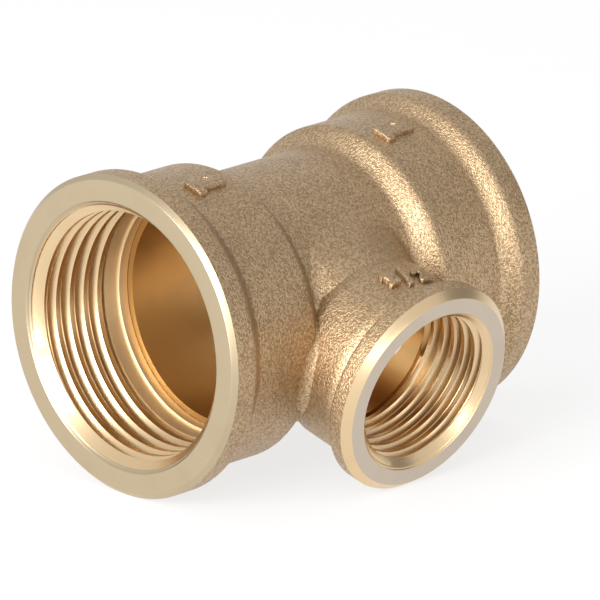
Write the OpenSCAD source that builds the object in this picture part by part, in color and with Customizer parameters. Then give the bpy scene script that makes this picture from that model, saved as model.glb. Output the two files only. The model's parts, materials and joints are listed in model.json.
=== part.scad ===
// Reducing tee fitting: cast brass, three female parallel pipe threads, 1 x 1/2 x 1.
// The run lies along X and the branch points to -Y. The origin is where their centre lines cross.
// The tee is laid down about the run, so that both run collars and the branch rim touch a table.

/* [Run thread] */
// Major diameter of the run's pipe thread
run_major_d = 33.249; // [30:0.001:36]
// Pitch of the run's pipe thread
run_pitch = 2.309; // [1.8:0.001:2.6]
// Share of the pitch that boring takes off the crests of all three threads
crest_cut = 0.15; // [0:0.01:0.2]
// How far the countersink opens past the thread's root at the end face
run_flare = 0.48; // [0.2:0.02:0.5]
// Depth of the thread's inner end below the end face
run_thread_depth = 11.7; // [9:0.1:15]
// Length of the plain bore from the thread to the pipe stop
run_bore_len = 2.1; // [1:0.1:3]
// Length of the bored land that stops the pipe
run_stop_len = 1.5; // [1:0.1:2.5]
// Radial step from the bored land down to the waterway
run_stop_step = 0.85; // [0.4:0.05:2]

/* [Run body] */
// Length of the plain barrel between the feet of its two shoulders
barrel_len = 17.4; // [15:0.1:30]
// Wall of the barrel outside the waterway
barrel_wall = 2; // [1.5:0.1:3]
// Length of the rounded shoulder from a socket down to the barrel
socket_shoulder = 3; // [2:0.1:4]
// Wall of a socket outside the root of its thread
socket_wall = 2; // [1.4:0.1:3]
// How far a socket's full wall runs on past the plain bore
socket_cover = 1; // [0.6:0.1:2]
// How far a collar stands out from its socket
collar_rise = 1.7; // [1:0.1:3]
// Length of a collar, from the end face to the foot of its shoulder
collar_len = 6; // [5:0.1:8]
// Length of the rounded shoulder from a collar down to its socket
collar_shoulder = 2.7; // [1.5:0.1:3.5]
// Width of the turned chamfer round an end face
end_chamfer = 0.6; // [0.6:0.1:1]

/* [Branch] */
// Major diameter of the branch's pipe thread
branch_major_d = 20.955; // [18:0.001:22]
// Pitch of the branch's pipe thread
branch_pitch = 1.814; // [1.3:0.001:2]
// How far the countersink opens past the thread's root at the branch's end face
branch_flare = 0.3; // [0.1:0.02:0.5]
// Depth of the thread's inner end below the branch's end face
branch_thread_depth = 10.9; // [8:0.1:15]
// Length of the plain bore from the branch's thread to the crown of the waterway
branch_land = 2.4; // [1.8:0.1:4]
// Wall of the neck outside the root of the branch's thread
neck_wall = 1.7; // [1.2:0.1:2.5]
// How far the branch's collar stands out from the neck
branch_collar_rise = 1.6; // [0.8:0.1:2.5]
// Length of the branch's collar, from the end face to the foot of its shoulder
branch_collar_len = 4.1; // [3:0.1:5]
// Length of the rounded shoulder from the branch's collar down to the neck
branch_shoulder = 1.2; // [0.6:0.1:1.6]
// Width of the turned chamfer round the branch's end face
branch_chamfer = 1; // [0.6:0.1:1.1]
// Size of the cast fillet where the neck meets the run
neck_fillet = 1.1; // [0.6:0.1:2]
// Depth below the branch's end face at which the neck's upper side starts to flare into the run
flare_depth = 12.2; // [11:0.1:14]
// How far the flare reaches out from the neck over the run
flare_reach = 2.8; // [2:0.1:3.2]

/* [Size marks] */
// Height that the cast size numerals stand proud of the skin
mark_height = 0.5; // [0.2:0.05:1]
// Length of the numeral on a run socket, measured along the run
run_mark_len = 5.2; // [3:0.1:6]
// Height of the fraction on the neck, measured along the branch
branch_mark_len = 4; // [2.5:0.1:5]
// Gap between the branch's collar and the fraction
branch_mark_gap = 1.4; // [0.8:0.1:2.5]

/* [Hidden] */

LEFT = -1;
RIGHT = 1;
cast_brass = "#b0905e";
turned_brass = "#d8c08c";
bored_brass = "#a8783c";

// Circles over 12 sides are true circles
$fn = 96;
// Straight steps in the curve of one shoulder
shoulder_steps = 10;
// Facets in one turn of a thread
thread_facets = 30;
// How far a ridge's blank passes its true crest and root before it is trimmed, as a share of the pitch
ridge_spare = 0.1;
// How much of a ridge's blank already stands inside the countersink at its blunt start, and is still
// left at its inner end, as a share of the pitch
ridge_start = 0.15;
// Depth of a ridge's middle on the X axis of its port, as a share of the pitch
run_thread_phase = 0.49;
branch_thread_phase = 0.3;
// Half of the angle between the flanks of a parallel pipe thread
flank_angle = 27.5;
// Depth of a parallel pipe thread as a share of its pitch
thread_depth_ratio = 0.640327;
// Sections round the neck's fillet, and points along the curve and along the underside of each
fillet_sections = 96;
fillet_points = 5;
fillet_under_points = 6;
// Largest share of the room between the neck and the side of the barrel that the fillet may take
fillet_room = 0.7;
// Height that the flare has to gain over the plain fillet before it reaches out all the way
flare_gain = 1.5;
// Where a section of the flare bends, as a share of its reach
flare_bend = 0.5;
// How far the fillet's feather edges stand proud of the neck and the run
fillet_edge = 0.15;
// Clearance under the fillet, where its flats bridge the round run
fillet_seat = 0.04;
// How far a cutting solid runs past what it cuts
cut_spare = 1;

// Radii in the run's ports, and depths from an end face
run_root_r = run_major_d / 2;
run_land_r = run_root_r - thread_depth_ratio * run_pitch;
run_crest_r = run_land_r + crest_cut * run_pitch;
run_mouth_r = run_root_r + run_flare;
waterway_r = run_land_r - run_stop_step;
run_bore_end = run_thread_depth + run_bore_len;
run_stop_end = run_bore_end + run_stop_len;

// The run's outside
barrel_r = waterway_r + barrel_wall;
socket_r = run_root_r + socket_wall;
collar_r = socket_r + collar_rise;
shoulder_start = run_bore_end + socket_cover;
shoulder_foot = shoulder_start + socket_shoulder;
barrel_half = barrel_len / 2;
run_half = barrel_half + shoulder_foot;
body_half = run_half - run_bore_end;

// Radii in the branch, and depths from its end face
branch_root_r = branch_major_d / 2;
branch_crest_r = branch_root_r - (thread_depth_ratio - crest_cut) * branch_pitch;
branch_mouth_r = branch_root_r + branch_flare;
branch_len = waterway_r + branch_land + branch_thread_depth;
neck_r = branch_root_r + neck_wall;
branch_collar_r = neck_r + branch_collar_rise;
fillet_size = min(neck_fillet, fillet_room * (barrel_r - neck_r));
flare_size = max(fillet_size, min(flare_reach, fillet_room * (barrel_r - neck_r)));

// Depths of the middles of the size marks
run_mark_depth = (collar_len + shoulder_start) / 2;
branch_mark_depth = branch_collar_len + branch_mark_gap + branch_mark_len / 2;

// Dip of the branch at which its rim touches the table that the run collars lie on
rim_reach = branch_len - branch_chamfer;
rest_tilt = asin(collar_r / norm([rim_reach, branch_collar_r])) - atan2(branch_collar_r, rim_reach);

// Lays the tee down on its three rims
module laid_down()
    rotate([rest_tilt, 0, 0])
        children();

// Puts a shape at one end of the run: its Z is the depth from the end face
module at_run_end(side)
    translate([side * run_half, 0, 0])
        rotate([0, -side * 90, 0])
            children();

// Puts a shape at the branch's end: its Z is the depth from the end face
module at_branch_end()
    translate([0, -branch_len, 0])
        rotate([-90, 0, 0])
            children();

// Turns a shape's Z axis to the run
module along_run()
    rotate([0, 90, 0])
        children();

// A ring turned from an outline of [radius, depth] points
module turned(outline)
    rotate_extrude()
        polygon(outline);

// Smooth rise from 0 to 1
function ease(u) = u * u * (3 - 2 * u);

// Outline of a shoulder that runs from one radius to the next, as [radius, depth] points
function shoulder(from_r, to_r, foot, length) = [
    for (i = [0 : shoulder_steps])
        let (u = i / shoulder_steps)
            [from_r + (to_r - from_r) * ease(u), foot - length * (1 - u)]
];

// Outer radius of the run at a place along it, as far as the sockets
function run_outer_r(x) =
    let (u = (abs(x) - barrel_half) / socket_shoulder)
        barrel_r + (socket_r - barrel_r) * ease(max(0, min(1, u)));

// Outline of the run's middle from left to right, as [radius, x] points
function body_outline() =
    let (
        side = shoulder(socket_r, barrel_r, shoulder_foot, socket_shoulder),
        count = len(side)
    )
        concat(
            [for (p = side) [p[0], p[1] - run_half]],
            [for (i = [count - 1 : -1 : 0]) [side[i][0], run_half - side[i][1]]]
        );

// The turned face and outer chamfer of a port, with the start of its countersink
module end_face(rim_r, chamfer, mouth_r, root_r)
    turned([
        [mouth_r, 0],
        [rim_r - chamfer, 0],
        [rim_r, chamfer],
        [root_r, chamfer],
        [root_r, mouth_r - root_r]
    ]);

// The collar behind an end face, with its shoulder
module collar(rim_r, chamfer, next_r, length, shoulder_len, root_r)
    turned(concat(
        [[root_r, chamfer], [rim_r, chamfer]],
        shoulder(rim_r, next_r, length, shoulder_len),
        [[root_r, length]]
    ));

// One unbroken helical ridge, cut to the crest and root cylinders of its thread, to the countersink
// at 45 degrees through which a pipe enters, and to a flat inner end
module thread(root_r, crest_r, mouth_r, pitch, phase, end) {
    pitch_r = root_r - thread_depth_ratio * pitch / 2;
    radii = [crest_r - ridge_spare * pitch, root_r + ridge_spare * pitch];
    half_widths = [for (r = radii) pitch / 4 + (r - pitch_r) * tan(flank_angle)];
    start = mouth_r - root_r - half_widths[1] + ridge_start * pitch;
    travel = end + half_widths[1] - ridge_start * pitch - start;
    steps = ceil(thread_facets * travel / pitch);
    corners = [[0, -1], [1, -1], [1, 1], [0, 1]];
    points = [
        for (i = [0 : steps], c = corners)
            let (
                depth = start + travel * i / steps,
                angle = 360 * (depth / pitch - phase),
                r = radii[c[0]]
            )
                [r * cos(angle), r * sin(angle), depth + c[1] * half_widths[c[0]]]
    ];
    sides = [
        for (i = [0 : steps - 1], k = [0 : 3])
            let (
                a = 4 * i + k,
                b = 4 * i + (k + 1) % 4
            )
                each [[a, b, b + 4], [a, b + 4, a + 4]]
    ];
    last = 4 * steps;
    caps = [[0, 2, 1], [0, 3, 2], [last, last + 1, last + 2], [last, last + 2, last + 3]];
    spare = 2 * pitch;
    intersection() {
        difference() {
            polyhedron(points, concat(sides, caps));
            translate([0, 0, -spare])
                cylinder(r = crest_r, h = end + 2 * spare);
            translate([0, 0, -spare])
                cylinder(r1 = mouth_r + spare, r2 = crest_r - spare, h = mouth_r - crest_r + 2 * spare);
        }
        translate([0, 0, -spare])
            cylinder(r = root_r, h = end + spare);
    }
}

// The waterway through the run, with the seats of both pipe stops
module waterway()
    along_run() {
        translate([0, 0, -run_half])
            cylinder(r = waterway_r, h = 2 * run_half);
        for (start = [-run_half, run_half - run_stop_end])
            translate([0, 0, start])
                cylinder(r = run_root_r, h = run_stop_end);
    }

// The run's middle as a solid bar, as far as a place on either side of the branch
module run_bar(half)
    along_run()
        turned(concat(
            [[0, -half], [socket_r, -half]],
            body_outline(),
            [[socket_r, half], [0, half]]
        ));

// The bore of the branch: the thread's root, then the plain land into the waterway
module branch_bore()
    at_branch_end() {
        translate([0, 0, -cut_spare])
            cylinder(r = branch_root_r, h = branch_thread_depth + cut_spare);
        cylinder(r = branch_crest_r, h = branch_len);
    }

// The numeral 1, standing on the X axis, with its flag and foot
module numeral_one(height) {
    stroke = height * 0.2;
    translate([-stroke / 2, 0])
        square([stroke, height]);
    translate([-height * 0.25, 0])
        square([height * 0.5, stroke * 0.8]);
    polygon([
        [stroke / 2, height],
        [-stroke / 2, height],
        [-height * 0.28, height * 0.78],
        [-height * 0.28, height * 0.6],
        [stroke / 2, height * 0.82]
    ]);
}

// The numeral 2, standing on the X axis: a round head, a slanted leg and a foot
module numeral_two(height) {
    stroke = height * 0.2;
    head_r = height * 0.28;
    head_y = height - head_r;
    difference() {
        translate([0, head_y])
            circle(r = head_r);
        translate([0, head_y])
            circle(r = head_r - stroke);
        translate([-head_r, head_y - head_r])
            square([head_r, head_r]);
    }
    polygon([
        [head_r, head_y],
        [head_r - stroke, head_y],
        [-head_r, stroke * 0.8],
        [-head_r, 0],
        [-head_r + stroke, stroke * 0.4]
    ]);
    translate([-head_r, 0])
        square([2 * head_r, stroke * 0.8]);
}

// The fraction 1/2, centred on the origin
module fraction(height) {
    digit = height * 0.72;
    gap = height * 0.42;
    lean = height * 0.2;
    slash = height * 0.07;
    translate([-gap, height / 2 - digit])
        numeral_one(digit);
    polygon([
        [-lean - slash, -height / 2],
        [-lean + slash, -height / 2],
        [lean + slash, height / 2],
        [lean - slash, height / 2]
    ]);
    translate([gap, -height / 2])
        numeral_two(digit);
}

// The middle of the run: the barrel, both shoulders, and the boss that ends the branch's thread
module run_barrel()
    color(cast_brass)
        difference() {
            union() {
                run_bar(body_half);
                at_branch_end()
                    translate([0, 0, branch_thread_depth])
                        cylinder(r = branch_root_r, h = branch_len - branch_thread_depth);
            }
            waterway();
            branch_bore();
        }

// The wall round a run thread and the plain bore behind it
module socket(side)
    color(cast_brass)
        at_run_end(side)
            turned([
                [run_root_r, collar_len],
                [socket_r, collar_len],
                [socket_r, run_bore_end],
                [run_crest_r, run_bore_end],
                [run_crest_r, run_thread_depth],
                [run_root_r, run_thread_depth]
            ]);

module run_collar(side)
    color(cast_brass)
        at_run_end(side)
            collar(collar_r, end_chamfer, socket_r, collar_len, collar_shoulder, run_root_r);

module run_end_face(side)
    color(turned_brass)
        at_run_end(side)
            end_face(collar_r, end_chamfer, run_mouth_r, run_root_r);

module run_thread(side)
    color(turned_brass)
        at_run_end(side)
            thread(run_root_r, run_crest_r, run_mouth_r, run_pitch, run_thread_phase, run_thread_depth);

// The bored land behind the plain bore, which a pipe comes up against
module pipe_stop(side)
    color(bored_brass)
        at_run_end(side)
            turned([
                [run_land_r, run_bore_end],
                [run_root_r, run_bore_end],
                [run_root_r, run_stop_end],
                [run_land_r, run_stop_end]
            ]);

// The tube of the branch, from its collar down to the run
module branch_neck()
    color(cast_brass)
        difference() {
            at_branch_end()
                translate([0, 0, branch_collar_len])
                    difference() {
                        cylinder(r = neck_r, h = branch_len - branch_collar_len);
                        translate([0, 0, -cut_spare])
                            cylinder(r = branch_root_r, h = branch_len);
                    }
            run_bar(run_half - collar_len);
        }

// The cast fillet round the foot of the neck: each section runs down the neck and out over the run,
// and on the upper side it rises to the depth where the neck starts to flare
module branch_fillet() {
    // The flats between sections just touch the neck
    inner_r = neck_r / cos(180 / fillet_sections);
    edge_r = neck_r + fillet_edge;
    function run_top(r, angle) = sqrt(pow(run_outer_r(r * cos(angle)), 2) - pow(r * sin(angle), 2));
    function at(r, angle, height) = [r * cos(angle), -height, r * sin(angle)];
    function section(angle) =
        let (
            plain_height = run_top(neck_r, angle) + fillet_size,
            top_height = sin(angle) > 0 ? max(plain_height, branch_len - flare_depth) : plain_height,
            spread = min(1, (top_height - plain_height) / flare_gain),
            toe_r = neck_r + fillet_size + spread * (flare_size - fillet_size),
            bend_r = edge_r + spread * flare_bend * (toe_r - edge_r),
            top = at(edge_r, angle, top_height),
            bend = at(bend_r, angle, run_top(bend_r, angle) + fillet_edge),
            toe = at(toe_r, angle, run_top(toe_r, angle) + fillet_edge)
        )
            concat(
                [
                    for (i = [0 : fillet_points - 1])
                        let (u = i / (fillet_points - 1))
                            pow(1 - u, 2) * top + 2 * u * (1 - u) * bend + pow(u, 2) * toe
                ],
                [
                    for (i = [0 : fillet_under_points - 1])
                        let (r = toe_r + (inner_r - toe_r) * i / (fillet_under_points - 1))
                            at(r, angle, run_top(r, angle) + fillet_seat)
                ],
                [at(inner_r, angle, top_height)]
            );
    around = fillet_points + fillet_under_points + 1;
    points = [for (i = [0 : fillet_sections - 1]) each section(360 * i / fillet_sections)];
    faces = [
        for (i = [0 : fillet_sections - 1], k = [0 : around - 1])
            let (
                next = (i + 1) % fillet_sections,
                a = around * i + k,
                b = around * i + (k + 1) % around,
                c = around * next + (k + 1) % around,
                d = around * next + k
            )
                each [[a, b, c], [a, c, d]]
    ];
    color(cast_brass)
        polyhedron(points, faces);
}

module branch_collar()
    color(cast_brass)
        at_branch_end()
            collar(branch_collar_r, branch_chamfer, neck_r, branch_collar_len, branch_shoulder,
                branch_root_r);

module branch_end_face()
    color(turned_brass)
        at_branch_end()
            end_face(branch_collar_r, branch_chamfer, branch_mouth_r, branch_root_r);

module branch_thread()
    color(turned_brass)
        at_branch_end()
            thread(branch_root_r, branch_crest_r, branch_mouth_r, branch_pitch, branch_thread_phase,
                branch_thread_depth);

// A raised numeral on top of a run socket, its height along the run
module run_size_mark(side)
    color(cast_brass)
        intersection() {
            translate([side * (run_half - run_mark_depth) - run_mark_len / 2, 0, 0])
                rotate([0, 0, -90])
                    linear_extrude(height = socket_r + mark_height)
                        numeral_one(run_mark_len);
            at_run_end(side)
                difference() {
                    cylinder(r = socket_r + mark_height, h = run_half);
                    translate([0, 0, -cut_spare])
                        cylinder(r = socket_r, h = run_half + 2 * cut_spare);
                }
        }

// A raised fraction on top of the branch neck
module branch_size_mark()
    color(cast_brass)
        intersection() {
            translate([0, branch_mark_depth - branch_len, 0])
                linear_extrude(height = neck_r + mark_height)
                    fraction(branch_mark_len);
            at_branch_end()
                difference() {
                    cylinder(r = neck_r + mark_height, h = branch_len);
                    translate([0, 0, -cut_spare])
                        cylinder(r = neck_r, h = branch_len + 2 * cut_spare);
                }
        }

laid_down() run_barrel();
laid_down() socket(LEFT);  // left_socket
laid_down() socket(RIGHT);  // right_socket
laid_down() run_collar(LEFT);  // left_collar
laid_down() run_collar(RIGHT);  // right_collar
laid_down() run_end_face(LEFT);  // left_end_face
laid_down() run_end_face(RIGHT);  // right_end_face
laid_down() run_thread(LEFT);  // left_thread
laid_down() run_thread(RIGHT);  // right_thread
laid_down() pipe_stop(LEFT);  // left_pipe_stop
laid_down() pipe_stop(RIGHT);  // right_pipe_stop
laid_down() branch_neck();
laid_down() branch_fillet();
laid_down() branch_collar();
laid_down() branch_end_face();
laid_down() branch_thread();
laid_down() run_size_mark(LEFT);  // left_size_mark
laid_down() run_size_mark(RIGHT);  // right_size_mark
laid_down() branch_size_mark();
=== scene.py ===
import json
import math

import bpy
from mathutils import Euler, Matrix, Vector


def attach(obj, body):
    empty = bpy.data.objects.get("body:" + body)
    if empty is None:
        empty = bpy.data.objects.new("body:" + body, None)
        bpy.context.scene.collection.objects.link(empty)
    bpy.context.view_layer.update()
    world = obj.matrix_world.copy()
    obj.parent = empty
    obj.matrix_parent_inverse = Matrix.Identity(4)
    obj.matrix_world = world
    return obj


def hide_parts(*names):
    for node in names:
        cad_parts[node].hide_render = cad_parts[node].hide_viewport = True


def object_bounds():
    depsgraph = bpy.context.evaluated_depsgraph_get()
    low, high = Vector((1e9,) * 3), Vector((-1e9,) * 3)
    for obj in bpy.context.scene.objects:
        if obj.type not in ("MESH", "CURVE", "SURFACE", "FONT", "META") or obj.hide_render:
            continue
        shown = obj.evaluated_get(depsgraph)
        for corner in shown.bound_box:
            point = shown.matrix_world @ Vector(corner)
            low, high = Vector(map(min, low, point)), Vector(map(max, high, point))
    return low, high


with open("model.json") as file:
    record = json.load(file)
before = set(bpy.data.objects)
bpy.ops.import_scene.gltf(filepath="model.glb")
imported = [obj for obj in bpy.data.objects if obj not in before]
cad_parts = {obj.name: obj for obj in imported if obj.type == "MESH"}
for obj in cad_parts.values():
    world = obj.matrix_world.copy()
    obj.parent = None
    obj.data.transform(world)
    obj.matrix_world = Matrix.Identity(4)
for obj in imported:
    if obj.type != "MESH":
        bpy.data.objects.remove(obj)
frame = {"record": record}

CAD_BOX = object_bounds()
MOUNTS = {mount["name"]: mount for mount in frame["record"]["mounts"]}

bl_info = {
    "name": "Cast Brass Tee",
    "version": (1, 0, 0),
    "blender": (4, 5, 0),
    "location": "View3D > Sidebar > Tee",
    "description": "Models a cast brass reducing tee with turned ends and cut pipe threads",
    "category": "Add Mesh",
}

MM = 0.001
# Faces round the run, round the branch and round one turn of a thread
RUN_STEPS = 192
BRANCH_STEPS = 144
THREAD_STEPS = 144
# Longest straight step along a turned outline
OUTLINE_STEP = 0.9 * MM
# Straight steps in the curve of one shoulder
SHOULDER_STEPS = 16
# Two points closer than this are one
WELD = 1e-7
# Half of the angle between the flanks of a parallel pipe thread
FLANK = math.radians(27.5)
# Depth of a parallel pipe thread, and what boring takes off its crests, as shares of the pitch
THREAD_DEPTH = 0.640327
CREST_CUT = 0.15
# Depth of the fine cast creases on the branch's neck, and the length of their open slope
CREASE = 0.3 * MM
CREASE_SLOPE = 2 * CREASE
# Depth of the marks that a tool leaves on turned brass, and in the smoother waterway
TOOL_MARK = 0.012 * MM
FINE_MARK = 0.004 * MM
# How deep the raised marks are set in the skin, and the spare height that softening takes off again
MARK_SINK = 0.3 * MM
MARK_SWELL = 1.3
# Size of the cells that the raised marks are softened in, and how often they are smoothed
MARK_CELL = 0.08 * MM
MARK_PASSES = 30
# Dip of the branch as the tee lies on its three rims
TILT = math.asin(-MOUNTS["branch_port"]["axis"][2])
# Edges flatter than this are shaded smooth
SMOOTH_ANGLE = math.radians(32)
# The camera: focal length and film width in millimetres, place in metres, turn in degrees
LENS, FILM = 432.44, 36
CAMERA_PLACE = (-0.589162, -0.618436, 0.267426)
CAMERA_TURN = (72.5347, 0.87804, -44.08084)
# Brightness of the lamps, where 1 is white, and the share of plain white in the floor that is seen
KEY_LEVEL = 10
FRONT_LEVEL = 3.1
FLOOR_WHITE = 0.75


def length(label, text, millimetres):
    """A length that the sidebar shows in the scene's units."""
    return bpy.props.FloatProperty(
        name=label, description=text, default=millimetres * MM, unit="LENGTH", precision=5
    )


def share(label, text, default):
    """A plain share of something else."""
    return bpy.props.FloatProperty(name=label, description=text, default=default, min=0, max=1, precision=3)


def colour(label, text, default):
    """A colour that the sidebar shows as a swatch."""
    return bpy.props.FloatVectorProperty(
        name=label, description=text, default=default, subtype="COLOR", min=0, max=1
    )


class TeeRunSizes(bpy.types.PropertyGroup):
    """Sizes of the run and of its two ports."""

    major_d: length("Thread diameter", "Major diameter of the run's pipe thread", 33.249)
    pitch: length("Pitch", "Pitch of the run's pipe thread", 2.309)
    phase: share("Phase", "Depth of a ridge's middle where the thread starts, as a share of the pitch", 0.49)
    flare: length("Flare", "How far the countersink opens past the thread's root at the face", 0.48)
    thread_depth: length("Thread depth", "Depth of the thread's inner end below the end face", 11.7)
    bore_len: length("Plain bore", "Length of the plain bore from the thread to the pipe stop", 2.1)
    stop_len: length("Stop length", "Length of the bored land that stops the pipe", 1.5)
    stop_step: length("Stop step", "Radial step from the land down to the waterway", 0.85)
    barrel_len: length("Barrel length", "Plain barrel between the feet of its shoulders", 17.4)
    barrel_wall: length("Barrel wall", "Wall of the barrel outside the waterway", 2)
    socket_shoulder: length("Socket shoulder", "Length of the shoulder from socket to barrel", 3)
    socket_wall: length("Socket wall", "Wall of a socket outside the thread's root", 2)
    socket_cover: length("Socket cover", "Full socket wall past the plain bore", 1)
    collar_rise: length("Collar rise", "How far a collar stands out from its socket", 1.7)
    collar_len: length("Collar length", "Length of a collar with its shoulder", 6)
    collar_shoulder: length("Collar shoulder", "Length of the shoulder from collar to socket", 2.7)
    chamfer: length("Chamfer", "Width of the turned chamfer round an end face", 0.6)
    mark_len: length("Mark length", "Length of the numeral along the run", 5.2)
    mark_height: length("Mark height", "How far the numerals stand proud", 0.5)


class TeeBranchSizes(bpy.types.PropertyGroup):
    """Sizes of the branch and of its port."""

    major_d: length("Thread diameter", "Major diameter of the branch's pipe thread", 20.955)
    pitch: length("Pitch", "Pitch of the branch's pipe thread", 1.814)
    phase: share("Phase", "Depth of a ridge's middle where the thread starts, as a share of the pitch", 0.3)
    flare: length("Flare", "How far the countersink opens past the thread's root at the face", 0.3)
    thread_depth: length("Thread depth", "Depth of the thread's inner end below the end face", 10.9)
    land: length("Land", "Plain bore from the thread to the crown of the waterway", 2.4)
    wall: length("Neck wall", "Wall of the neck outside the thread's root", 1.7)
    collar_rise: length("Collar rise", "How far the collar stands out from the neck", 1.6)
    collar_len: length("Collar length", "Length of the collar with its shoulder", 4.1)
    collar_shoulder: length("Collar shoulder", "Length of the shoulder from collar to neck", 1.2)
    chamfer: length("Chamfer", "Width of the turned chamfer round the end face", 1)
    fillet: length("Fillet", "Size of the cast fillet under the neck, where it meets the run", 1.0)
    side_fillet: length("Side fillet", "Size of the cast fillet beside the neck", 2.2)
    flare_depth: length("Flare depth", "Depth at which the neck's upper side starts to flare", 12.2)
    flare_reach: length("Flare reach", "How far the flare reaches out from the neck over the run", 2.8)
    mark_len: length("Mark length", "Height of the fraction along the branch", 4)
    mark_gap: length("Mark gap", "Gap between the collar and the fraction", 1.4)


class TeeFinishes(bpy.types.PropertyGroup):
    """Colours of the brass and of the stage."""

    cast_low: colour("Cast, low", "Cast skin in the pits of its grain", (0.33, 0.222, 0.122))
    # Painted shade: the darker colour that the cast skin takes in creases and corners through an ambient
    # occlusion node.
    cast_crease_shade: colour("Cast, painted crease shade", "Cast skin deep in its creases", (0.27, 0.165, 0.08))
    cast_high: colour("Cast, high", "Cast skin on the peaks of its grain", (0.61, 0.44, 0.265))
    turned: colour("Turned", "Freshly turned brass of the run's ports", (0.56, 0.455, 0.3))
    turned_side: colour("Turned, branch", "Paler turned brass of the branch's port", (0.585, 0.495, 0.4))
    threaded: colour("Threaded", "Bright brass of the cut threads", (0.8, 0.6, 0.36))
    plain: colour("Plain bores", "Coarsely bored brass behind the threads", (0.86, 0.7, 0.47))
    bored: colour("Bored", "Bored brass of the waterway", (0.58, 0.36, 0.15))
    floor: colour("Floor", "Plain pale floor", (0.9, 0.9, 0.9))


class Port:
    """Radii and depths of one threaded port and of the metal round it, worked out from its sizes."""

    def __init__(self, sizes, outer_r):
        self.chamfer = sizes.chamfer
        self.pitch = sizes.pitch
        self.phase = sizes.phase
        self.flare = sizes.flare
        self.root_r = sizes.major_d / 2
        self.land_r = self.root_r - THREAD_DEPTH * sizes.pitch
        self.crest_r = self.land_r + CREST_CUT * sizes.pitch
        self.mouth_r = self.root_r + sizes.flare
        self.thread_end = sizes.thread_depth
        self.outer_r = outer_r
        self.rim_r = outer_r + sizes.collar_rise
        self.collar_len = sizes.collar_len
        self.collar_shoulder = sizes.collar_shoulder

    def countersink(self, depth, out=0.0):
        """A (radius, depth) point on the 45-degree countersink, or a little outside it."""
        return self.mouth_r - depth + out, depth


class Tee:
    """The tee's derived sizes, and where its ports lie in the frame."""

    def __init__(self, scene):
        run, branch = scene.tee_run, scene.tee_branch
        self.run, self.branch = run, branch
        self.port = Port(run, run.major_d / 2 + run.socket_wall)
        self.side_port = Port(branch, branch.major_d / 2 + branch.wall)
        self.waterway_r = self.port.land_r - run.stop_step
        self.bore_end = self.port.thread_end + run.bore_len
        self.stop_end = self.bore_end + run.stop_len
        self.barrel_r = self.waterway_r + run.barrel_wall
        self.shoulder_start = self.bore_end + run.socket_cover
        self.shoulder_foot = self.shoulder_start + run.socket_shoulder
        self.barrel_half = run.barrel_len / 2
        self.run_half = self.barrel_half + self.shoulder_foot
        self.body_half = self.run_half - self.bore_end
        self.branch_len = self.waterway_r + branch.land + self.side_port.thread_end
        laid = Matrix.Rotation(TILT, 4, "X")
        quarter = math.pi / 2
        self.along_run = laid @ Matrix.Rotation(quarter, 4, "Y")
        self.left = laid @ Matrix.Translation((-self.run_half, 0, 0)) @ Matrix.Rotation(quarter, 4, "Y")
        self.right = laid @ Matrix.Translation((self.run_half, 0, 0)) @ Matrix.Rotation(-quarter, 4, "Y")
        self.side = laid @ Matrix.Translation((0, -self.branch_len, 0)) @ Matrix.Rotation(-quarter, 4, "X")
        self.laid = laid

    def run_outer_r(self, x):
        """Outer radius of the run at a place along it, as far as the sockets."""
        share = (abs(x) - self.barrel_half) / self.run.socket_shoulder
        return self.barrel_r + (self.port.outer_r - self.barrel_r) * ease(min(1, max(0, share)))

    def barrel_outline(self):
        """Outline of the barrel's skin with its two shoulders, as (radius, place along the run) points."""
        slope = shoulder(self.port.outer_r, self.barrel_r, self.shoulder_foot, self.run.socket_shoulder)
        rise = [(radius, depth - self.run_half) for radius, depth in slope]
        return rise + [(radius, -place) for radius, place in reversed(rise)]


def ease(share):
    """Smooth rise from 0 to 1."""
    return share * share * (3 - 2 * share)


def shoulder(from_r, to_r, foot, span):
    """Outline of a rounded shoulder, as (radius, depth) points."""
    shares = [step / SHOULDER_STEPS for step in range(SHOULDER_STEPS + 1)]
    return [(from_r + (to_r - from_r) * ease(share), foot - span * (1 - share)) for share in shares]


def rounded(outline, radii):
    """The closed outline with the corners that radii names (by index) replaced by short arcs."""
    points = []
    count = len(outline)
    for index, corner in enumerate(outline):
        radius = radii.get(index)
        if not radius:
            points.append(corner)
            continue
        here = Vector(corner)
        before = (Vector(outline[index - 1]) - here).normalized()
        after = (Vector(outline[(index + 1) % count]) - here).normalized()
        half = before.angle(after) / 2
        reach = radius / math.tan(half)
        centre = here + (before + after).normalized() * (radius / math.sin(half))
        start, end = here + before * reach - centre, here + after * reach - centre
        for step in range(5):
            direction = start.lerp(end, step / 4).normalized()
            points.append(tuple(centre + direction * radius))
    return points


def stepped(outline):
    """The closed outline with its long straight stretches divided."""
    points = []
    for index, point in enumerate(outline):
        after = outline[(index + 1) % len(outline)]
        parts = max(1, math.ceil((Vector(after) - Vector(point)).length / OUTLINE_STEP))
        points += [tuple(Vector(point).lerp(Vector(after), part / parts)) for part in range(parts)]
    return points


def select_only(obj):
    """Makes one object the only selected one, and the active one."""
    bpy.ops.object.select_all(action="DESELECT")
    obj.select_set(True)
    bpy.context.view_layer.objects.active = obj


def apply_modifier(obj, kind, settings):
    """Adds a modifier with its settings and applies it."""
    select_only(obj)
    bpy.ops.object.modifier_add(type=kind)
    modifier = obj.modifiers[-1]
    for key, value in settings.items():
        setattr(modifier, key, value)
    bpy.ops.object.modifier_apply(modifier=modifier.name)


def edit(obj):
    """Opens one object in edit mode, with all of it selected."""
    select_only(obj)
    bpy.ops.object.mode_set(mode="EDIT")
    bpy.ops.mesh.select_mode(type="VERT")
    bpy.ops.mesh.select_all(action="SELECT")


def leave():
    """Back to object mode."""
    bpy.ops.object.mode_set(mode="OBJECT")


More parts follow.
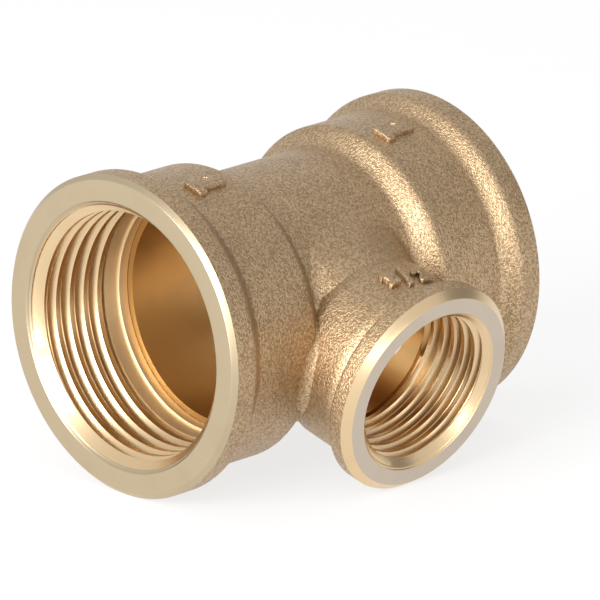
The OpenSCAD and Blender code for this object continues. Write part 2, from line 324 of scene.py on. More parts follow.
def tidy_mesh():
    """Welds what coincides and turns every face outwards, in edit mode."""
    bpy.ops.mesh.select_all(action="SELECT")
    bpy.ops.mesh.remove_doubles(threshold=WELD)
    bpy.ops.mesh.normals_make_consistent(inside=False)


def start_point(place):
    """A new mesh that is one selected point, in edit mode: a small plane merged to its centre."""
    bpy.ops.object.select_all(action="DESELECT")
    bpy.ops.mesh.primitive_plane_add(size=MM, location=(0, 0, 0))
    obj = bpy.context.active_object
    edit(obj)
    bpy.ops.mesh.merge(type="CENTER")
    bpy.ops.transform.translate(value=place)
    return obj


def draw_outline(points, closed):
    """A chain of edges through points, extruded one point at a time."""
    obj = start_point(points[0])
    for before, after in zip(points, points[1:]):
        step = Vector(after) - Vector(before)
        bpy.ops.mesh.extrude_vertices_move(TRANSFORM_OT_translate={"value": tuple(step)})
    leave()
    if closed:
        vertices = obj.data.vertices
        for vertex in vertices:
            vertex.select = vertex.index in (0, len(vertices) - 1)
        bpy.ops.object.mode_set(mode="EDIT")
        bpy.ops.mesh.edge_face_add()
        leave()
    return obj


def turn_ring(name, outline, steps):
    """A closed ring turned about Z from a closed outline of (radius, depth) points."""
    ring = draw_outline([(radius, 0, depth) for radius, depth in stepped(outline)], True)
    ring.name = ring.data.name = name
    edit(ring)
    bpy.ops.mesh.spin(steps=steps, angle=2 * math.pi, center=(0, 0, 0), axis=(0, 0, 1))
    tidy_mesh()
    leave()
    return ring


def cylinder(radius, from_z, to_z, steps):
    """A plain bar along Z, for cutting and joining."""
    bpy.ops.object.select_all(action="DESELECT")
    bpy.ops.mesh.primitive_cylinder_add(
        vertices=steps, radius=radius, depth=to_z - from_z, location=(0, 0, (from_z + to_z) / 2)
    )
    place(bpy.context.active_object, Matrix.Identity(4))
    return bpy.context.active_object


def place(obj, matrix):
    """Moves a piece to its place and puts that place in its mesh."""
    select_only(obj)
    obj.matrix_world = matrix @ obj.matrix_world
    bpy.ops.object.transform_apply(location=True, rotation=True, scale=True)


def combine(obj, other, operation):
    """Cuts or joins another solid, which is used up."""
    apply_modifier(obj, "BOOLEAN", {"operation": operation, "solver": "EXACT", "object": other})
    bpy.data.objects.remove(other)


def copy_of(obj, name):
    """A copy with its own mesh."""
    select_only(obj)
    bpy.ops.object.duplicate(linked=False)
    copy = bpy.context.active_object
    copy.name = copy.data.name = name
    return copy


def paint(obj, materials, pick=None):
    """Gives a piece its materials: the first all over, the second on the faces that pick chooses.

    pick is given a face's centre and normal.
    """
    obj.data.materials.clear()
    for material in materials:
        obj.data.materials.append(material)
    if pick is None:
        return
    edit(obj)
    bpy.ops.mesh.select_mode(type="FACE")
    bpy.ops.mesh.select_all(action="DESELECT")
    leave()
    for face in obj.data.polygons:
        face.select = pick(face.center, face.normal)
    bpy.ops.object.mode_set(mode="EDIT")
    obj.active_material_index = 1
    bpy.ops.object.material_slot_assign()
    bpy.ops.mesh.select_mode(type="VERT")
    leave()


def finish_piece(obj, node):
    """Smooths a piece by angle, hangs it on the root body, and hides the CAD node that it stands for."""
    select_only(obj)
    bpy.ops.object.shade_smooth_by_angle(angle=SMOOTH_ANGLE)
    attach(obj, "root")
    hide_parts(node)


class Wire:
    """A shader socket in Python arithmetic: each operation adds a Math node."""

    def __init__(self, graph, socket):
        self.graph = graph
        self.socket = socket

    def _with(self, operation, first, second):
        return self.graph.node("ShaderNodeMath", {"operation": operation}, {0: first, 1: second})["Value"]

    def __add__(self, other):
        return self._with("ADD", self, other)

    def __radd__(self, other):
        return self._with("ADD", other, self)

    def __sub__(self, other):
        return self._with("SUBTRACT", self, other)

    def __rsub__(self, other):
        return self._with("SUBTRACT", other, self)

    def __mul__(self, other):
        return self._with("MULTIPLY", self, other)

    def __rmul__(self, other):
        return self._with("MULTIPLY", other, self)


class Graph:
    """A node tree that is written as expressions."""

    def __init__(self, owner):
        owner.use_nodes = True
        self.tree = owner.node_tree
        self.tree.nodes.clear()

    def node(self, kind, settings, inputs):
        """Adds a node: its settings first, then its sockets' values or links. Gives its outputs by name."""
        made = self.tree.nodes.new(kind)
        for key, value in settings.items():
            if key == "stops":
                self._stops(made.color_ramp, value)
            else:
                setattr(made, key, value)
        for key, value in inputs.items():
            if isinstance(value, Wire):
                self.tree.links.new(value.socket, made.inputs[key])
            else:
                made.inputs[key].default_value = value
        return {socket.name: Wire(self, socket) for socket in made.outputs if socket.enabled}

    @staticmethod
    def _stops(ramp, stops):
        while len(ramp.elements) < len(stops):
            ramp.elements.new(1)
        for element, (position, tone) in zip(ramp.elements, stops):
            element.position = position
            element.color = (*tone, 1)

    def mix(self, share, first, second):
        """A colour between two others."""
        return self.node("ShaderNodeMix", {"data_type": "RGBA"}, {0: share, 6: first, 7: second})["Result"]

    def ramp(self, value, low, high):
        """0 below low, 1 above high, smooth between."""
        made = self.node(
            "ShaderNodeMapRange",
            {"interpolation_type": "SMOOTHSTEP"},
            {"Value": value, "From Min": low, "From Max": high},
        )
        return made["Result"]

    def noise(self, place, scale, detail, roughness=0.5):
        """Fractal noise in metres."""
        made = self.node(
            "ShaderNodeTexNoise", {},
            {"Vector": place, "Scale": scale, "Detail": detail, "Roughness": roughness},
        )
        return made["Fac"]


def opaque(rgb):
    """A colour socket's value."""
    return (*rgb, 1)


def new_material(name):
    """A material with an empty graph, and its graph."""
    material = bpy.data.materials.new(name)
    return material, Graph(material)


def cast_brass(finishes):
    """Shot-blasted cast skin: fine even grain with bright peaks and darker pits, faint blotches, and painted
    shade that darkens it in creases and corners.
    """
    material, graph = new_material("cast_skin")
    place_wire = graph.node("ShaderNodeTexCoord", {}, {})["Object"]
    grain = graph.noise(place_wire, 3000, 2, 0.6)
    fine = graph.noise(place_wire, 6000, 1)
    blotch = graph.noise(place_wire, 260, 3)
    height = grain * 0.75 + fine * 0.25
    peaks = graph.ramp(height + (blotch - 0.5) * 0.12, 0.36, 0.64)
    tone = graph.mix(peaks, opaque(finishes.cast_low), opaque(finishes.cast_high))
    # Painted shade: an ambient occlusion node blends the skin towards the crease colour in creases, corners
    # and round the raised marks.
    openness_for_shade = graph.node("ShaderNodeAmbientOcclusion", {"samples": 8}, {"Distance": 0.7 * MM})["AO"]
    tone = graph.mix(graph.ramp(openness_for_shade, 0.3, 0.7), opaque(finishes.cast_crease_shade), tone)
    relief = {"Strength": 1.0, "Distance": 0.15 * MM, "Height": height}
    bump = graph.node("ShaderNodeBump", {}, relief)["Normal"]
    shader = graph.node(
        "ShaderNodeBsdfPrincipled", {},
        {
            "Base Color": tone,
            "Metallic": 1.0,
            "Roughness": 0.5 - peaks * 0.1,
            "Coat Weight": 0.22,
            "Coat Roughness": 0.4,
            "Normal": bump,
        },
    )["BSDF"]
    graph.node("ShaderNodeOutputMaterial", {}, {"Surface": shader})
    return material


def lathe_brass(name, rgb, roughness, depth, dip):
    """Turned or bored brass: fine tool marks that run round an axis, which a Mapping node turns to X."""
    material, graph = new_material(name)
    place_wire = graph.node("ShaderNodeTexCoord", {}, {})["Object"]
    turned = graph.node("ShaderNodeMapping", {}, {"Vector": place_wire, "Rotation": dip})["Vector"]
    parts = graph.node("ShaderNodeSeparateXYZ", {}, {"Vector": turned})
    radius = graph.node(
        "ShaderNodeVectorMath", {"operation": "LENGTH"},
        {0: graph.node("ShaderNodeCombineXYZ", {}, {"Y": parts["Y"], "Z": parts["Z"]})["Vector"]},
    )["Value"]
    across = parts["X"] + radius
    marks = graph.node(
        "ShaderNodeTexNoise", {"noise_dimensions": "1D"}, {"W": across, "Scale": 5200.0, "Detail": 2.0}
    )["Fac"]
    stain = graph.noise(place_wire, 210, 2)
    tone = graph.mix(graph.ramp(stain, 0.4, 0.75) * 0.16, opaque(rgb), opaque([part * 0.74 for part in rgb]))
    bump = graph.node("ShaderNodeBump", {}, {"Strength": 0.5, "Distance": depth, "Height": marks})["Normal"]
    shader = graph.node(
        "ShaderNodeBsdfPrincipled", {},
        {
            "Base Color": tone,
            "Metallic": 1.0,
            "Roughness": roughness + marks * 0.1,
            "Normal": bump,
        },
    )["BSDF"]
    graph.node("ShaderNodeOutputMaterial", {}, {"Surface": shader})
    return material


def finish_of(name):
    """A material that the finishes operator has made."""
    return bpy.data.materials[name]


class TEE_OT_finishes(bpy.types.Operator):
    """Make the brass finishes: cast skin, turned metal and bored metal"""

    bl_idname = "tee.finishes"
    bl_label = "Brass finishes"

    def execute(self, context):
        finishes = context.scene.tee_finishes
        cast_brass(finishes)
        run_axis = (0, 0, 0)
        side_axis = Euler((-TILT, 0, 0)).to_matrix()
        side_axis = (Euler((0, 0, math.pi / 2)).to_matrix() @ side_axis).to_euler()
        lathe_brass("turned_metal", finishes.turned, 0.27, TOOL_MARK, run_axis)
        lathe_brass("turned_side_metal", finishes.turned_side, 0.27, TOOL_MARK, side_axis)
        lathe_brass("threaded_metal", finishes.threaded, 0.24, TOOL_MARK, run_axis)
        lathe_brass("threaded_side_metal", finishes.threaded, 0.24, TOOL_MARK, side_axis)
        lathe_brass("plain_metal", finishes.plain, 0.46, TOOL_MARK, run_axis)
        lathe_brass("bored_metal", finishes.bored, 0.26, FINE_MARK, run_axis)
        return {"FINISHED"}


def within(matrix, radius):
    """A test of whether a face lies nearer than radius to the axis of a ring that stands at matrix."""
    axis = (matrix.to_3x3() @ Vector((0, 0, 1))).normalized()
    origin = matrix.translation.copy()

    def near(centre, normal):
        arm = centre - origin
        return (arm - axis * arm.dot(axis)).length < radius

    return near


class TEE_OT_run_barrel(bpy.types.Operator):
    """Model the middle of the run, bored through and opened for the branch"""

    bl_idname = "tee.run_barrel"
    bl_label = "Run barrel"

    def execute(self, context):
        tee = Tee(context.scene)
        port, side_port = tee.port, tee.side_port
        half, seat = tee.body_half, tee.run_half - tee.stop_end
        bore = [
            (port.outer_r, half), (port.root_r, half), (port.root_r, seat), (tee.waterway_r, seat),
            (tee.waterway_r, -seat), (port.root_r, -seat), (port.root_r, -half), (port.outer_r, -half),
        ]
        barrel = turn_ring("cast_run_barrel", tee.barrel_outline() + bore, RUN_STEPS)
        place(barrel, tee.along_run)
        boss_end = tee.branch_len - tee.barrel_half
        boss = cylinder(side_port.root_r, side_port.thread_end, boss_end, BRANCH_STEPS)
        place(boss, tee.side)
        combine(barrel, boss, "UNION")
        water = cylinder(tee.waterway_r, -seat, seat, RUN_STEPS)
        place(water, tee.along_run)
        combine(barrel, water, "DIFFERENCE")
        drill = cylinder(side_port.crest_r, 0, tee.branch_len, BRANCH_STEPS)
        place(drill, tee.side)
        combine(barrel, drill, "DIFFERENCE")
        edit(barrel)
        tidy_mesh()
        leave()
        in_run = within(tee.along_run, tee.barrel_r - tee.run.barrel_wall / 2)
        in_branch = within(tee.side, side_port.root_r - WELD)
        face_at = tee.side.translation

        def bored(centre, normal):
            return in_run(centre, normal) or centre.dot(face_at) > 0 and in_branch(centre, normal)

        paint(barrel, [finish_of("cast_skin"), finish_of("bored_metal")], bored)
        finish_piece(barrel, "run_barrel")
        return {"FINISHED"}


class TEE_OT_sockets(bpy.types.Operator):
    """Model the wall round each run thread"""

    bl_idname = "tee.sockets"
    bl_label = "Sockets"

    def execute(self, context):
        tee = Tee(context.scene)
        port = tee.port
        outline = [
            (port.root_r, port.collar_len), (port.outer_r, port.collar_len), (port.outer_r, tee.bore_end),
            (port.crest_r, tee.bore_end), (port.crest_r, port.thread_end), (port.root_r, port.thread_end),
        ]
        inner_r = (port.root_r + port.outer_r) / 2
        first = turn_ring("cast_left_socket", outline, RUN_STEPS)
        second = copy_of(first, "cast_right_socket")
        for socket, matrix, node in ((first, tee.left, "left_socket"), (second, tee.right, "right_socket")):
            place(socket, matrix)
            paint(socket, [finish_of("cast_skin"), finish_of("plain_metal")], within(matrix, inner_r))
            finish_piece(socket, node)
        return {"FINISHED"}


def collar_outline(port):
    """Outline of the collar behind an end face, with its shoulder."""
    return [
        (port.root_r, port.chamfer), (port.rim_r, port.chamfer),
        *shoulder(port.rim_r, port.outer_r, port.collar_len, port.collar_shoulder),
        (port.root_r, port.collar_len),
    ]


class TEE_OT_collars(bpy.types.Operator):
    """Model the cast collar behind each end face"""

    bl_idname = "tee.collars"
    bl_label = "Collars"

    def execute(self, context):
        tee = Tee(context.scene)
        left = turn_ring("cast_left_collar", collar_outline(tee.port), RUN_STEPS)
        right = copy_of(left, "cast_right_collar")
        side = turn_ring("cast_branch_collar", collar_outline(tee.side_port), BRANCH_STEPS)
        places = (
            (left, tee.left, tee.port, "left_collar", "threaded_metal"),
            (right, tee.right, tee.port, "right_collar", "threaded_metal"),
            (side, tee.side, tee.side_port, "branch_collar", "threaded_side_metal"),
        )
        for collar, matrix, port, node, inner in places:
            inner_r = (port.root_r + port.outer_r) / 2
            place(collar, matrix)
            paint(collar, [finish_of("cast_skin"), finish_of(inner)], within(matrix, inner_r))
            finish_piece(collar, node)
        return {"FINISHED"}


def face_outline(port):
    """Outline of a turned end face and chamfer, with broken edges and a fine tool line in the countersink."""
    line_start, line_middle, line_end, line_depth = (share * port.flare for share in (0.46, 0.58, 0.7, 0.2))
    corners = [
        port.countersink(0), (port.rim_r - port.chamfer, 0), (port.rim_r, port.chamfer),
        (port.root_r, port.chamfer), (port.root_r, port.flare), port.countersink(line_end),
        port.countersink(line_middle, line_depth), port.countersink(line_start),
    ]
    inner_edge, outer_edge = 0.05 * MM, 0.12 * MM
    return rounded(corners, {0: inner_edge, 1: outer_edge})


class TEE_OT_end_faces(bpy.types.Operator):
    """Model the turned face and chamfer of each port"""

    bl_idname = "tee.end_faces"
    bl_label = "End faces"

    def execute(self, context):
        tee = Tee(context.scene)
        left = turn_ring("turned_left_face", face_outline(tee.port), RUN_STEPS)
        right = copy_of(left, "turned_right_face")
        side = turn_ring("turned_branch_face", face_outline(tee.side_port), BRANCH_STEPS)
        places = (
            (left, tee.left, "left_end_face", "turned_metal", "turned_metal"),
            (right, tee.right, "right_end_face", "turned_metal", "turned_metal"),
            (side, tee.side, "branch_end_face", "turned_side_metal", "threaded_side_metal"),
        )
        for face, matrix, node, flat, slanted in places:
            place(face, matrix)
            axis = matrix.to_3x3() @ Vector((0, 0, 1))

            def slants(centre, normal, axis=axis):
                return abs(normal.dot(axis)) < 0.95

            paint(face, [finish_of(flat), finish_of(slanted)], slants)
            finish_piece(face, node)
        return {"FINISHED"}


def tap(port):
    """A tap for a port's thread: one pitch of the rounded form, screwed along Z and capped at both ends."""
    pitch = port.pitch
    slope = math.tan(FLANK)
    pitch_r = (port.root_r + port.land_r) / 2
    crest_half = pitch / 4 - (pitch_r - port.crest_r) * slope
    root_half = pitch / 4 + (port.root_r - pitch_r) * slope
    # One pitch from the middle of a valley to the middle of the next, with the ridge between them
    corners = [
        (port.root_r, 0), (port.root_r, pitch / 2 - root_half),
        (port.crest_r, pitch / 2 - crest_half), (port.crest_r, pitch / 2 + crest_half),
        (port.root_r, pitch / 2 + root_half), (port.root_r, pitch),
    ]
    root_round, crest_round = 0.11 * pitch, 0.03 * pitch
    form = rounded(corners, {1: root_round, 2: crest_round, 3: crest_round, 4: root_round})
    # The ridge stands in the CAD thread's phase, and starts two turns early
    first = (port.phase - 0.5 - 2) * pitch
    shape = draw_outline([(radius, 0, first + z) for radius, z in form], False)
    turns = math.ceil(port.thread_end / pitch) + 5
    apply_modifier(shape, "SCREW", {
        "axis": "Z", "angle": 2 * math.pi, "screw_offset": pitch, "iterations": turns,
        "steps": THREAD_STEPS, "render_steps": THREAD_STEPS, "use_merge_vertices": False,
    })
    edit(shape)
    bpy.ops.mesh.remove_doubles(threshold=WELD)
    spare = pitch / 3
    for z, upper in ((port.flare - spare, False), (port.thread_end + spare, True)):
        bpy.ops.mesh.select_all(action="SELECT")
        bpy.ops.mesh.bisect(
            plane_co=(0, 0, z), plane_no=(0, 0, 1), use_fill=True, clear_inner=not upper, clear_outer=upper,
            threshold=WELD / 10,
        )
    tidy_mesh()
    leave()
    return shape


def threaded_liner(name, port, back, steps):
    """A ring bored to the thread's crest, tapped, and countersunk where the pipe enters."""
    outline = [
        (port.crest_r - back, port.flare), (port.root_r + back, port.flare),
        (port.root_r + back, port.thread_end), (port.crest_r - back, port.thread_end),
    ]
    liner = turn_ring(name, outline, steps)
    combine(liner, tap(port), "DIFFERENCE")
    wide_r, narrow_r = port.mouth_r + MM, port.crest_r - MM
    bpy.ops.object.select_all(action="DESELECT")
    bpy.ops.mesh.primitive_cone_add(
        vertices=steps, radius1=wide_r, radius2=narrow_r, depth=wide_r - narrow_r,
        location=(0, 0, (wide_r - narrow_r) / 2 - MM),
    )
    sink = bpy.context.active_object
    place(sink, Matrix.Identity(4))
    combine(liner, sink, "DIFFERENCE")
    edit(liner)
    tidy_mesh()
    leave()
    return liner


class TEE_OT_threads(bpy.types.Operator):
    """Cut the pipe thread of each port"""

    bl_idname = "tee.threads"
    bl_label = "Threads"

    def execute(self, context):
        tee = Tee(context.scene)
        back = 0.12 * MM
        left = threaded_liner("turned_left_thread", tee.port, back, RUN_STEPS)
        right = copy_of(left, "turned_right_thread")
        side = threaded_liner("turned_branch_thread", tee.side_port, back, BRANCH_STEPS)
        places = (
            (left, tee.left, "left_thread", "threaded_metal"),
            (right, tee.right, "right_thread", "threaded_metal"),
            (side, tee.side, "branch_thread", "threaded_side_metal"),
        )
        for thread, matrix, node, finish in places:
            place(thread, matrix)
            paint(thread, [finish_of(finish)])
            finish_piece(thread, node)
        return {"FINISHED"}


class TEE_OT_pipe_stops(bpy.types.Operator):
    """Model the bored land behind each run thread"""

    bl_idname = "tee.pipe_stops"
    bl_label = "Pipe stops"

    def execute(self, context):
        tee = Tee(context.scene)
        corners = [
            (tee.port.land_r, tee.bore_end), (tee.port.root_r, tee.bore_end),
            (tee.port.root_r, tee.stop_end), (tee.port.land_r, tee.stop_end),
        ]
        left = turn_ring("bored_left_stop", rounded(corners, {0: 0.15 * MM, 3: 0.1 * MM}), RUN_STEPS)
        right = copy_of(left, "bored_right_stop")
        for stop, matrix, node in ((left, tee.left, "left_pipe_stop"), (right, tee.right, "right_pipe_stop")):
            place(stop, matrix)
            paint(stop, [finish_of("plain_metal")])
            finish_piece(stop, node)
        return {"FINISHED"}


class TEE_OT_branch_neck(bpy.types.Operator):
    """Model the neck of the branch, cut to sit on the run"""

    bl_idname = "tee.branch_neck"
    bl_label = "Branch neck"

    def execute(self, context):
        tee = Tee(context.scene)
        port = tee.side_port
        foot = tee.branch_len - tee.barrel_half
        low_r, valley = port.outer_r - CREASE, tee.branch.flare_depth + CREASE / 2
        outline = [
            (port.root_r, port.collar_len), (low_r, port.collar_len),
            (port.outer_r, port.collar_len + CREASE_SLOPE), (port.outer_r, valley - CREASE_SLOPE),
            (low_r, valley), (low_r, foot), (port.root_r, foot),
        ]
        neck = turn_ring("cast_branch_neck", outline, BRANCH_STEPS)
        place(neck, tee.side)
        half, core, socket_r = tee.run_half - tee.port.collar_len, tee.waterway_r / 2, tee.port.outer_r
        ends = [(socket_r, half), (core, half), (core, -half), (socket_r, -half)]
        bar = turn_ring("run_bar", tee.barrel_outline() + ends, RUN_STEPS)
        place(bar, tee.along_run)
        combine(neck, bar, "DIFFERENCE")
        edit(neck)
        tidy_mesh()
        leave()
        inner = within(tee.side, (port.root_r + port.outer_r) / 2)
        paint(neck, [finish_of("cast_skin"), finish_of("threaded_side_metal")], inner)
        finish_piece(neck, "branch_neck")
        return {"FINISHED"}


class TEE_OT_branch_fillet(bpy.types.Operator):
    """Model the cast fillet round the neck's foot, with the flare on its upper side"""

    bl_idname = "tee.branch_fillet"
    bl_label = "Branch fillet"

    def execute(self, context):
        tee = Tee(context.scene)
        neck_r, reach = tee.side_port.outer_r - CREASE, tee.branch.flare_reach
        small, large = tee.branch.fillet, tee.branch.side_fillet
        flare_height = tee.branch_len - tee.branch.flare_depth - CREASE
        # The rise over which the flare reaches its full spread, and where its curve is drawn towards
        flare_gain = 1.5 * MM
        bend_share, bend_lift = 0.8, 0.1
        # How far the curve and the fillet's underside are set in the skins that they meet
        sink, bed = 0.03 * MM, 0.12 * MM
        curve_steps, under_steps = 12, 6

        def run_top(radius, angle):
            across = radius * math.sin(angle)
            return math.sqrt(tee.run_outer_r(radius * math.cos(angle)) ** 2 - across ** 2)

        def section(angle):
            """(radius, height above the run's axis) points of the fillet at one angle round the neck."""
            size = small + (large - small) * math.cos(angle) ** 4
            plain = run_top(neck_r, angle) + size
            height = max(plain, flare_height) if math.sin(angle) > 0 else plain
            spread = min(1, (height - plain) / flare_gain)
            toe_r = neck_r + size + spread * (reach - size)
            bend_r = neck_r - sink + spread * bend_share * (toe_r - neck_r)
            top = Vector((neck_r - sink, height))
            bend = Vector((bend_r, run_top(bend_r, angle) + bend_lift * spread * size - sink))
            toe = Vector((toe_r, run_top(toe_r, angle) - sink))
            curve = []
            for step in range(curve_steps + 1):
                share = step / curve_steps
                curve.append((1 - share) ** 2 * top + 2 * share * (1 - share) * bend + share ** 2 * toe)
            under = []
            for step in range(1, under_steps + 1):
                radius = toe.x + (neck_r - bed - toe.x) * step / under_steps
                under.append(Vector((radius, run_top(radius, angle) - bed)))
            return curve + under + [Vector((neck_r - bed, top.y))]

        start = section(0)
        ring = draw_outline([(point.x, 0, point.y) for point in start], True)
        ring.name = ring.data.name = "cast_branch_fillet"
        edit(ring)
        bpy.ops.mesh.spin(steps=BRANCH_STEPS, angle=2 * math.pi, center=(0, 0, 0), axis=(0, 0, 1))
        tidy_mesh()
        leave()
        # Each turned section settles onto the curve of the run at its own angle
        for vertex in ring.data.vertices:
            angle = math.atan2(vertex.co.y, vertex.co.x)
            radius = math.hypot(vertex.co.x, vertex.co.y)
            index = min(
                range(len(start)),
                key=lambda i: (start[i].x - radius) ** 2 + (start[i].y - vertex.co.z) ** 2,
            )
            settled = section(angle)[index]
            vertex.co = (settled.x * math.cos(angle), settled.x * math.sin(angle), settled.y)
        place(ring, tee.laid @ Matrix.Rotation(math.pi / 2, 4, "X"))
        edit(ring)
        tidy_mesh()
        leave()
        paint(ring, [finish_of("cast_skin")])
        finish_piece(ring, "branch_fillet")
        return {"FINISHED"}


def numeral_one(height):
    """Outline of the numeral 1, standing on the X axis."""
    stroke = height * 0.32
    flag = 0.3 * height
    join = height * (0.6 + 0.22 * (flag - stroke / 2) / (flag + stroke / 2))
    foot, sole = height * 0.3, stroke * 0.8
    half = stroke / 2
    return [
        (-foot, 0), (foot, 0), (foot, sole), (half, sole), (half, height), (-half, height),
        (-flag, height * 0.78), (-flag, height * 0.6), (-half, join), (-half, sole), (-foot, sole),
    ]


def numeral_two(height):
    """Outline of the numeral 2, standing on the X axis."""
    stroke = height * 0.28
    head_r = height * 0.36
    head_y, sole = height - head_r, stroke * 0.8
    rise = (sole - stroke * 0.4) / (head_y - stroke * 0.4)
    heel = -head_r + stroke + (2 * head_r - stroke) * rise
    arc = [math.pi * step / 10 for step in range(11)]
    inner_r = head_r - stroke
    outer = [(head_r * math.cos(a), head_y + head_r * math.sin(a)) for a in arc]
    inner = [(inner_r * math.cos(a), head_y + inner_r * math.sin(a)) for a in reversed(arc)]
    return [(-head_r, 0), (head_r, 0), (head_r, sole), (heel, sole), *outer, *inner, (-head_r, sole)]


def fraction(height):
    """Outlines of the fraction 1/2, centred on the origin."""
    digit, gap, lean, slash = height * 0.72, height * 0.54, height * 0.16, height * 0.11
    half = height / 2
    bar = [(-lean - slash, -half), (-lean + slash, -half), (lean + slash, half), (lean - slash, half)]
    one = [(x - gap, y + half - digit) for x, y in numeral_one(digit)]
    two = [(x + gap, y - half) for x, y in numeral_two(digit)]
    return [one, bar, two]


def raised_mark(name, outlines, skin_r, rise, bend):
    """Raised characters, softened like sand castings, laid on a round skin whose axis is bend's direction."""
    bodies = []
    for outline in outlines:
        body = draw_outline([(x, y, 0) for x, y in outline], True)
        edit(body)
        bpy.ops.mesh.edge_face_add()
        height = MARK_SWELL * rise + MARK_SINK
        bpy.ops.mesh.extrude_region_move(TRANSFORM_OT_translate={"value": (0, 0, height)})
        tidy_mesh()
        leave()
        bodies.append(body)
    bpy.ops.object.select_all(action="DESELECT")
    for body in bodies:
        body.select_set(True)
    bpy.context.view_layer.objects.active = bodies[0]
    if len(bodies) > 1:
        bpy.ops.object.join()
    mark = bpy.context.active_object
    mark.name = mark.data.name = name
    apply_modifier(mark, "REMESH", {"mode": "VOXEL", "voxel_size": MARK_CELL})
    apply_modifier(mark, "SMOOTH", {"factor": 0.5, "iterations": MARK_PASSES})
    for vertex in mark.data.vertices:
        across = vertex.co.x if bend == "Y" else vertex.co.y
        vertex.co.z += math.sqrt(skin_r ** 2 - across ** 2) - MARK_SINK
    return mark


class TEE_OT_size_marks(bpy.types.Operator):
    """Raise the cast size numerals on the sockets and on the neck"""

    bl_idname = "tee.size_marks"
    bl_label = "Size marks"

    def execute(self, context):
        tee = Tee(context.scene)
        run, branch = tee.run, tee.branch
        depth = (tee.port.collar_len + tee.shoulder_start) / 2
        flat = [(y, -x) for x, y in numeral_one(run.mark_len)]
        centred = [(x - run.mark_len / 2, y) for x, y in flat]
        left = raised_mark("cast_left_mark", [centred], tee.port.outer_r, run.mark_height, "X")
        right = copy_of(left, "cast_right_mark")
        for mark, side, node in ((left, -1, "left_size_mark"), (right, 1, "right_size_mark")):
            place(mark, tee.laid @ Matrix.Translation((side * (tee.run_half - depth), 0, 0)))
            paint(mark, [finish_of("cast_skin")])
            finish_piece(mark, node)
        middle = tee.side_port.collar_len + branch.mark_gap + branch.mark_len / 2
        side_mark = raised_mark(
            "cast_branch_mark", fraction(branch.mark_len), tee.side_port.outer_r, run.mark_height, "Y"
        )
        place(side_mark, tee.laid @ Matrix.Translation((0, middle - tee.branch_len, 0)))
        paint(side_mark, [finish_of("cast_skin")])
        finish_piece(side_mark, "branch_size_mark")
        return {"FINISHED"}


def bearing(azimuth, height, distance):
    """A place on the stage, from its azimuth and height in degrees as seen from the tee."""
    azimuth, height = math.radians(azimuth), math.radians(height)
    level = distance * math.cos(height)
    return Vector((level * math.cos(azimuth), level * math.sin(azimuth), distance * math.sin(height)))


def soft_lamp(name, location, width, height, level):
    """A soft box that looks at the tee, as bright as level times white."""
    data = bpy.data.lights.new(name, "AREA")
    data.shape = "RECTANGLE"
    data.size, data.size_y = width, height
    data.energy = level * math.pi * width * height
    lamp = bpy.data.objects.new(name, data)
    lamp.location = location
    lamp.rotation_euler = (-location).to_track_quat("-Z", "Y").to_euler()
    bpy.context.scene.collection.objects.link(lamp)


def flag(name, location, width, height, cloth):
    """A grey cloth that only reflections see: it keeps part of the tee from washing out."""
    bpy.ops.object.select_all(action="DESELECT")
    turn = location.to_track_quat("Z", "Y").to_euler()
    bpy.ops.mesh.primitive_plane_add(size=1, location=location, rotation=turn)
    bpy.ops.transform.resize(value=(width, height, 1), orient_type="LOCAL")
    made = bpy.context.active_object
    made.name = made.data.name = name
    made.data.materials.append(cloth)
    made.visible_camera = made.visible_diffuse = made.visible_shadow = False


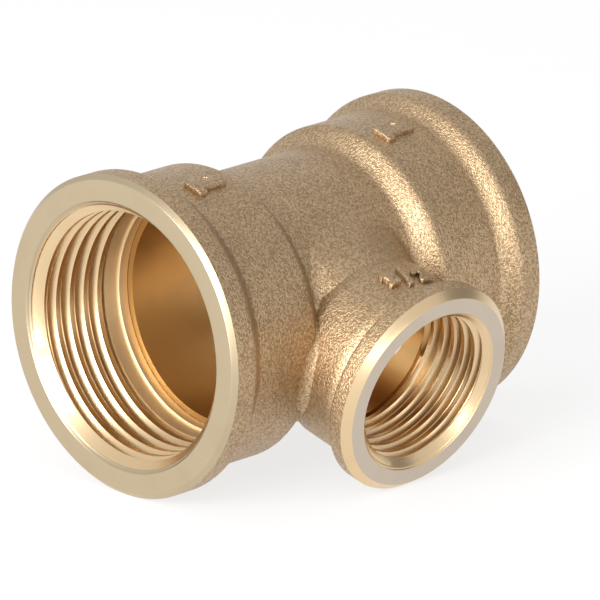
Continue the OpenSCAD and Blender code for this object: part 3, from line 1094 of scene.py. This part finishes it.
class TEE_OT_stage(bpy.types.Operator):
    """Set up the camera, the pale floor and the soft studio light"""

    bl_idname = "tee.stage"
    bl_label = "Stage"

    def execute(self, context):
        scene = context.scene
        scene.view_settings.view_transform = "Standard"
        lens = bpy.data.cameras.new("photo_view")
        lens.lens, lens.sensor_width = LENS, FILM
        lens.clip_start, lens.clip_end = 0.05, 20
        camera = bpy.data.objects.new("photo_view", lens)
        camera.location = CAMERA_PLACE
        camera.rotation_euler = [math.radians(turn) for turn in CAMERA_TURN]
        scene.collection.objects.link(camera)
        scene.camera = camera
        self.floor(scene)
        self.light(scene)
        return {"FINISHED"}

    @staticmethod
    def seen(graph):
        """1 for rays that show the background: from the camera, or from gloss or glass."""
        path = graph.node("ShaderNodeLightPath", {}, {})
        shown = path["Is Camera Ray"] + path["Is Glossy Ray"] + path["Is Transmission Ray"]
        return graph.ramp(shown, 0.0, 1.0)

    def floor(self, scene):
        bpy.ops.object.select_all(action="DESELECT")
        bpy.ops.mesh.primitive_plane_add(size=6, location=(0, 0, CAD_BOX[0].z))
        floor = bpy.context.active_object
        floor.name = floor.data.name = "floor"
        material, graph = new_material("pale_floor")
        matt = graph.node("ShaderNodeBsdfDiffuse", {}, {"Color": opaque(scene.tee_finishes.floor)})["BSDF"]
        white = graph.node("ShaderNodeEmission", {}, {"Strength": 1.0})["Emission"]
        shown = self.seen(graph)
        surface = graph.node("ShaderNodeMixShader", {}, {0: shown * FLOOR_WHITE, 1: matt, 2: white})["Shader"]
        graph.node("ShaderNodeOutputMaterial", {}, {"Surface": surface})
        floor.data.materials.append(material)

    def light(self, scene):
        world = bpy.data.worlds.new("studio")
        scene.world = world
        graph = Graph(world)
        backdrop = graph.node("ShaderNodeBackground", {}, {"Strength": 1.0})["Background"]
        graph.node("ShaderNodeOutputWorld", {}, {"Surface": backdrop})
        soft_lamp("key", bearing(-172, 16, 0.8), 0.6, 0.6, KEY_LEVEL)
        soft_lamp("front", bearing(-105, 7, 1.0), 0.9, 0.25, FRONT_LEVEL)
        cloth, graph = new_material("grey_cloth")
        matt = graph.node("ShaderNodeBsdfDiffuse", {}, {"Color": opaque((0.2, 0.2, 0.2))})["BSDF"]
        graph.node("ShaderNodeOutputMaterial", {}, {"Surface": matt})
        flag("right_flag", bearing(-12, 20, 1.0), 1.2, 0.5, cloth)


class TEE_PT_panel(bpy.types.Panel):
    """The tee's pieces and settings"""

    bl_idname = "TEE_PT_panel"
    bl_label = "Brass tee"
    bl_space_type = "VIEW_3D"
    bl_region_type = "UI"
    bl_category = "Tee"

    def draw(self, context):
        for step in STEPS:
            self.layout.operator(step.bl_idname)
        for group in (context.scene.tee_run, context.scene.tee_branch, context.scene.tee_finishes):
            box = self.layout.box()
            for key in group.__annotations__:
                box.prop(group, key)


STEPS = (
    TEE_OT_stage, TEE_OT_finishes, TEE_OT_run_barrel, TEE_OT_sockets, TEE_OT_collars, TEE_OT_end_faces,
    TEE_OT_threads, TEE_OT_pipe_stops, TEE_OT_branch_neck, TEE_OT_branch_fillet, TEE_OT_size_marks,
)
GROUPS = {"tee_run": TeeRunSizes, "tee_branch": TeeBranchSizes, "tee_finishes": TeeFinishes}


def register():
    for cls in (*GROUPS.values(), *STEPS, TEE_PT_panel):
        bpy.utils.register_class(cls)
    for key, cls in GROUPS.items():
        setattr(bpy.types.Scene, key, bpy.props.PointerProperty(type=cls))


def unregister():
    for key in GROUPS:
        delattr(bpy.types.Scene, key)
    for cls in reversed((*GROUPS.values(), *STEPS, TEE_PT_panel)):
        bpy.utils.unregister_class(cls)


def main():
    register()
    for step in STEPS:
        family, action = step.bl_idname.split(".")
        getattr(getattr(bpy.ops, family), action)()


if __name__ == "__main__":
    main()
